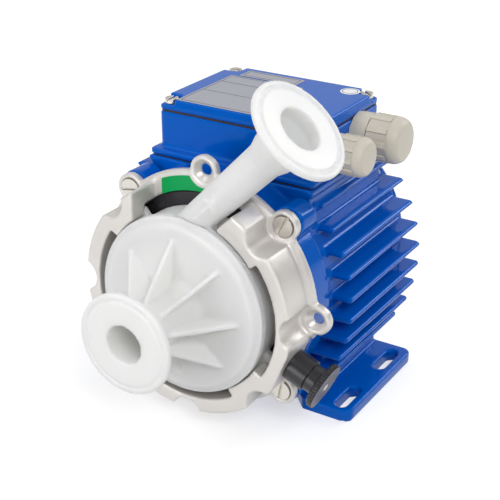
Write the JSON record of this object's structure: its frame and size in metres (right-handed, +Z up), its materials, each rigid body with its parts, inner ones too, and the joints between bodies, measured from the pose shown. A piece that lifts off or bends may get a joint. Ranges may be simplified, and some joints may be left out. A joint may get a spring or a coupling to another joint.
{
  "type": "magnetic levitation centrifugal pump",
  "caption": "Centrifugal pump with a magnetically levitated impeller: a translucent bayonet pump head on a finned, foot-mounted motor with a terminal box and cable glands.",
  "frame": {"origin": "centre of the four foot slots on the mounting plane", "axes": "+X rearwards along the pump axis (the inlet faces -X), +Y to the left as seen from the inlet, +Z up"},
  "size_m": [0.1825, 0.1493, 0.1884],
  "materials": {
    "housing_paint": "glossy paint on cast aluminium",
    "ring_aluminium": "bead blasted",
    "natural_plastic": "translucent, satin",
    "impeller_plastic": "satin",
    "magnet": "plain",
    "steel": "nickel plated",
    "black_plastic": "satin",
    "rubber": "matte",
    "green_label": "printed, satin",
    "silver_label": "satin foil",
    "white_label": "satin",
    "gland_plastic": "satin",
    "lamination_steel": "stacked laminations",
    "winding_copper": "enamelled wire",
    "circuit_board": "solder resist",
    "brass": "plain"
  },
  "bodies": {
    "motor": {"mounting_ring": "ring_aluminium", "ring_screws": "steel", "lock_label": "green_label", "lock_sleeve": "black_plastic", "lock_spring": "steel", "motor_plate": "black_plastic", "plate_screws": "steel", "motor_housing": "housing_paint", "stator_claws": "lamination_steel", "coil_bobbins": "gland_plastic", "stator_coils": "winding_copper", "stator_yoke": "lamination_steel", "sensor_board": "circuit_board", "sensor_screws": "steel", "hall_sensors": "black_plastic", "controller_board": "circuit_board", "board_standoffs": "brass", "board_screws": "steel", "capacitors": "black_plastic", "power_stage": "black_plastic", "rear_gasket": "rubber", "rear_cover": "housing_paint", "rear_screws": "steel", "box_gasket": "rubber", "terminal_box": "housing_paint", "box_screws": "steel", "passage_grommet": "rubber", "terminal_block": "gland_plastic", "terminal_screws": "steel", "terminal_fixings": "steel", "lid_gasket": "rubber", "box_lid": "housing_paint", "lid_screws": "steel", "rating_plate": "silver_label", "strip_plate": "silver_label", "round_sticker": "white_label", "large_gland_body": "gland_plastic", "large_gland_seal": "rubber", "large_gland_cap": "gland_plastic", "small_gland_body": "gland_plastic", "small_gland_seal": "rubber", "small_gland_cap": "gland_plastic"},
    "pump_head": {"pump_cover": "natural_plastic", "pump_casing": "natural_plastic", "casing_oring": "rubber"},
    "impeller": {"impeller_shrouds": "impeller_plastic", "rotor_magnet": "magnet", "rotor_sleeve": "impeller_plastic"},
    "lock_plunger": {"lock_pin": "steel", "lock_knob": "black_plastic", "knob_rivet": "steel"}
  },
  "joints": [
    {"name": "head_turn", "type": "hinge", "parent": "motor", "child": "pump_head", "pos_m": [-0.085, 0, 0.071], "axis": [-1, 0, 0], "range_deg": [0, 33]},
    {"name": "impeller_spin", "type": "hinge", "parent": "pump_head", "child": "impeller", "pos_m": [-0.075, 0, 0.071], "axis": [-1, 0, 0], "continuous": true},
    {"name": "lock_pin_slide", "type": "slide", "parent": "motor", "child": "lock_plunger", "axis": [0, -0.9239, -0.3827], "range_m": [-0.005, 0]}
  ]
}
